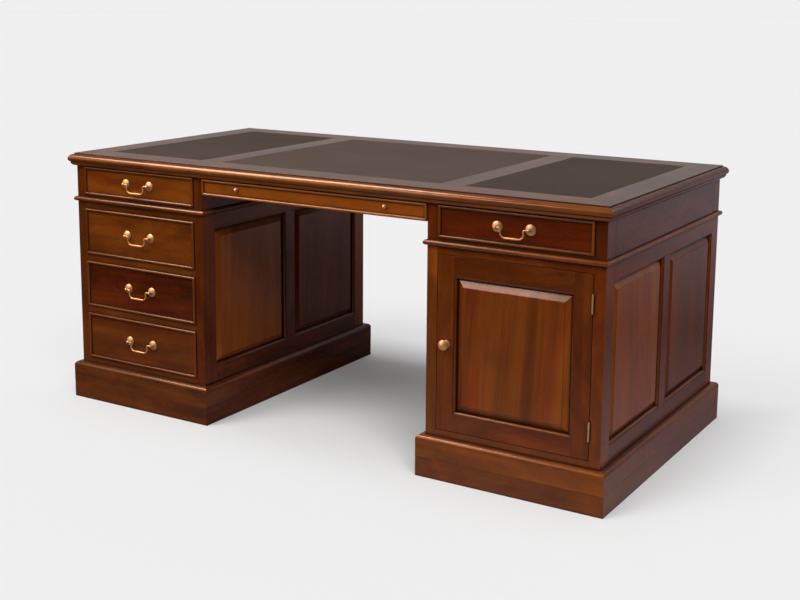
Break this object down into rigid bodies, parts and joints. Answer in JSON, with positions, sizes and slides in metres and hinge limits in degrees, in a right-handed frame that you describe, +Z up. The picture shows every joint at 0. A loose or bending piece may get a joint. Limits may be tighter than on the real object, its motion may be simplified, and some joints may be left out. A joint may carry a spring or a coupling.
{
  "type": "partners desk",
  "caption": "Double-sided pedestal desk with a leather-lined top, frieze drawers, and a bank of drawers and a panelled cupboard facing each of two sitters.",
  "frame": {"origin": "on the floor, under the middle of the desk", "axes": "+X along the front to the sitter's right, +Y from the front to the back, +Z up"},
  "size_m": [1.8, 0.914, 0.78],
  "materials": {
    "mahogany": "satin polished mahogany, reddish brown",
    "drawer_lining": "plain secondary wood, hardly finished",
    "leather": "dark olive-brown hide, fine grain, low sheen",
    "brass": "lacquered antique brass"
  },
  "bodies": {
    "carcase": {"top_frame": "mahogany", "top_boards": "drawer_lining", "top_leathers": "leather", "top_band": "mahogany", "frieze_frame": "mahogany", "frieze_inside": "drawer_lining", "pedestal_left_frame": "mahogany", "pedestal_left_panels": "mahogany", "pedestal_left_mouldings": "mahogany", "pedestal_left_inside": "drawer_lining", "plinth_left": "mahogany", "pedestal_right_frame": "mahogany", "pedestal_right_panels": "mahogany", "pedestal_right_mouldings": "mahogany", "pedestal_right_inside": "drawer_lining", "plinth_right": "mahogany", "waist_mouldings": "mahogany", "hinge_leaves": "brass"},
    "door_front": {"door_front_frame": "mahogany", "door_front_panel": "mahogany", "door_front_hinges": "brass", "door_front_knob": "brass"},
    "door_back": {"door_back_frame": "mahogany", "door_back_panel": "mahogany", "door_back_hinges": "brass", "door_back_knob": "brass"},
    "drawer_front_top_left": {"drawer_front_top_left": "mahogany", "handle_posts_front_top_left": "brass"},
    "drawer_front_top_centre": {"drawer_front_top_centre": "mahogany", "knobs_front_top_centre": "brass"},
    "drawer_front_top_right": {"drawer_front_top_right": "mahogany", "handle_posts_front_top_right": "brass"},
    "drawer_front_upper": {"drawer_front_upper": "mahogany", "handle_posts_front_upper": "brass"},
    "drawer_front_middle": {"drawer_front_middle": "mahogany", "handle_posts_front_middle": "brass"},
    "drawer_front_lower": {"drawer_front_lower": "mahogany", "handle_posts_front_lower": "brass"},
    "drawer_back_top_left": {"drawer_back_top_left": "mahogany", "handle_posts_back_top_left": "brass"},
    "drawer_back_top_centre": {"drawer_back_top_centre": "mahogany", "knobs_back_top_centre": "brass"},
    "drawer_back_top_right": {"drawer_back_top_right": "mahogany", "handle_posts_back_top_right": "brass"},
    "drawer_back_upper": {"drawer_back_upper": "mahogany", "handle_posts_back_upper": "brass"},
    "drawer_back_middle": {"drawer_back_middle": "mahogany", "handle_posts_back_middle": "brass"},
    "drawer_back_lower": {"drawer_back_lower": "mahogany", "handle_posts_back_lower": "brass"},
    "bail_front_top_left": {"bail_front_top_left": "brass"},
    "bail_front_top_right": {"bail_front_top_right": "brass"},
    "bail_front_lower": {"bail_front_lower": "brass"},
    "bail_front_middle": {"bail_front_middle": "brass"},
    "bail_front_upper": {"bail_front_upper": "brass"},
    "bail_back_top_left": {"bail_back_top_left": "brass"},
    "bail_back_top_right": {"bail_back_top_right": "brass"},
    "bail_back_lower": {"bail_back_lower": "brass"},
    "bail_back_middle": {"bail_back_middle": "brass"},
    "bail_back_upper": {"bail_back_upper": "brass"}
  },
  "joints": [
    {"name": "door_front_hinge", "type": "hinge", "parent": "carcase", "child": "door_front", "pos_m": [0.84825, -0.4329, 0.3715], "axis": [0, 0, 1], "range_deg": [0, 170]},
    {"name": "door_back_hinge", "type": "hinge", "parent": "carcase", "child": "door_back", "pos_m": [-0.84825, 0.4329, 0.3715], "axis": [0, 0, 1], "range_deg": [0, 170]},
    {"name": "drawer_front_top_left_slide", "type": "slide", "parent": "carcase", "child": "drawer_front_top_left", "axis": [0, -1, 0], "range_m": [0, 0.3]},
    {"name": "drawer_front_top_centre_slide", "type": "slide", "parent": "carcase", "child": "drawer_front_top_centre", "axis": [0, -1, 0], "range_m": [0, 0.3]},
    {"name": "drawer_front_top_right_slide", "type": "slide", "parent": "carcase", "child": "drawer_front_top_right", "axis": [0, -1, 0], "range_m": [0, 0.3]},
    {"name": "drawer_front_upper_slide", "type": "slide", "parent": "carcase", "child": "drawer_front_upper", "axis": [0, -1, 0], "range_m": [0, 0.3]},
    {"name": "drawer_front_middle_slide", "type": "slide", "parent": "carcase", "child": "drawer_front_middle", "axis": [0, -1, 0], "range_m": [0, 0.3]},
    {"name": "drawer_front_lower_slide", "type": "slide", "parent": "carcase", "child": "drawer_front_lower", "axis": [0, -1, 0], "range_m": [0, 0.3]},
    {"name": "drawer_back_top_left_slide", "type": "slide", "parent": "carcase", "child": "drawer_back_top_left", "axis": [0, 1, 0], "range_m": [0, 0.3]},
    {"name": "drawer_back_top_centre_slide", "type": "slide", "parent": "carcase", "child": "drawer_back_top_centre", "axis": [0, 1, 0], "range_m": [0, 0.3]},
    {"name": "drawer_back_top_right_slide", "type": "slide", "parent": "carcase", "child": "drawer_back_top_right", "axis": [0, 1, 0], "range_m": [0, 0.3]},
    {"name": "drawer_back_upper_slide", "type": "slide", "parent": "carcase", "child": "drawer_back_upper", "axis": [0, 1, 0], "range_m": [0, 0.3]},
    {"name": "drawer_back_middle_slide", "type": "slide", "parent": "carcase", "child": "drawer_back_middle", "axis": [0, 1, 0], "range_m": [0, 0.3]},
    {"name": "drawer_back_lower_slide", "type": "slide", "parent": "carcase", "child": "drawer_back_lower", "axis": [0, 1, 0], "range_m": [0, 0.3]},
    {"name": "bail_front_top_left_swing", "type": "hinge", "parent": "drawer_front_top_left", "child": "bail_front_top_left", "pos_m": [-0.63, -0.443, 0.699], "axis": [-1, 0, 0], "range_deg": [-15, 100]},
    {"name": "bail_front_top_right_swing", "type": "hinge", "parent": "drawer_front_top_right", "child": "bail_front_top_right", "pos_m": [0.63, -0.443, 0.699], "axis": [-1, 0, 0], "range_deg": [-15, 100]},
    {"name": "bail_front_lower_swing", "type": "hinge", "parent": "drawer_front_lower", "child": "bail_front_lower", "pos_m": [-0.63, -0.443, 0.208], "axis": [-1, 0, 0], "range_deg": [-15, 100]},
    {"name": "bail_front_middle_swing", "type": "hinge", "parent": "drawer_front_middle", "child": "bail_front_middle", "pos_m": [-0.63, -0.443, 0.374], "axis": [-1, 0, 0], "range_deg": [-15, 100]},
    {"name": "bail_front_upper_swing", "type": "hinge", "parent": "drawer_front_upper", "child": "bail_front_upper", "pos_m": [-0.63, -0.443, 0.54], "axis": [-1, 0, 0], "range_deg": [-15, 100]},
    {"name": "bail_back_top_left_swing", "type": "hinge", "parent": "drawer_back_top_left", "child": "bail_back_top_left", "pos_m": [0.63, 0.443, 0.699], "axis": [1, 0, 0], "range_deg": [-15, 100]},
    {"name": "bail_back_top_right_swing", "type": "hinge", "parent": "drawer_back_top_right", "child": "bail_back_top_right", "pos_m": [-0.63, 0.443, 0.699], "axis": [1, 0, 0], "range_deg": [-15, 100]},
    {"name": "bail_back_lower_swing", "type": "hinge", "parent": "drawer_back_lower", "child": "bail_back_lower", "pos_m": [0.63, 0.443, 0.208], "axis": [1, 0, 0], "range_deg": [-15, 100]},
    {"name": "bail_back_middle_swing", "type": "hinge", "parent": "drawer_back_middle", "child": "bail_back_middle", "pos_m": [0.63, 0.443, 0.374], "axis": [1, 0, 0], "range_deg": [-15, 100]},
    {"name": "bail_back_upper_swing", "type": "hinge", "parent": "drawer_back_upper", "child": "bail_back_upper", "pos_m": [0.63, 0.443, 0.54], "axis": [1, 0, 0], "range_deg": [-15, 100]}
  ]
}
